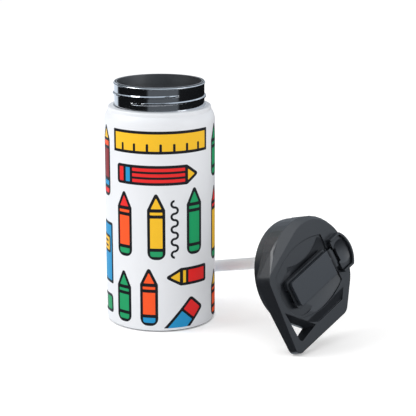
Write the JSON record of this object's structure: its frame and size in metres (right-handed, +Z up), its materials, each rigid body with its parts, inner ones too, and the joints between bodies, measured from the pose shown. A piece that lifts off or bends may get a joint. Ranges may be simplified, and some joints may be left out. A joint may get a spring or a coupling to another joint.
{
  "type": "kids water bottle",
  "caption": "Double-walled steel water bottle standing open, with its screw lid lying beside it: carry loop, flip-up drinking spout and straw.",
  "frame": {"origin": "on the floor, at the centre of the flask's flat base", "axes": "+Z up along the flask's axis, +X towards the open lid's top face, +Y towards the side on which the straw passes the flask"},
  "size_m": [0.1662, 0.1053, 0.161],
  "materials": {
    "white_coat": "smooth satin white coat with a printed pattern",
    "steel": "polished and lightly brushed stainless steel",
    "black_plastic": "fine satin moulding grain",
    "grey_plastic": "satin, slightly lighter than the cover",
    "silicone": "matte translucent grey silicone",
    "straw_plastic": "translucent natural polypropylene"
  },
  "bodies": {
    "flask": {"outer_shell": "white_coat", "neck_ring": "steel", "inner_flask": "steel", "shell_base": "steel", "base_cap": "steel", "vacuum_seal": "steel", "getter": "steel"},
    "lid": {"lid_cover": "black_plastic", "hinge_cap": "black_plastic", "lid_liner": "black_plastic", "neck_gasket": "silicone", "vent_valve": "silicone", "hinge_pin_left": "steel", "hinge_pin_right": "steel", "spout_seal": "silicone"},
    "spout": {"spout_lever": "black_plastic", "spout_plate": "grey_plastic", "mouthpiece": "silicone"},
    "straw": {"straw": "straw_plastic"}
  },
  "joints": [
    {"name": "lid_pull", "type": "slide", "parent": "flask", "child": "lid", "axis": [0.9659, 0, 0.2588], "range_m": [0, 0.14]},
    {"name": "spout_flip", "type": "hinge", "parent": "lid", "child": "spout", "pos_m": [0.10533, 0.05244, 0.05254], "axis": [-0.2408, -0.3665, 0.8987], "range_deg": [0, 90]},
    {"name": "straw_pull", "type": "slide", "parent": "lid", "child": "straw", "axis": [-0.9659, 0, -0.2588], "range_m": [0, 0.03]}
  ]
}
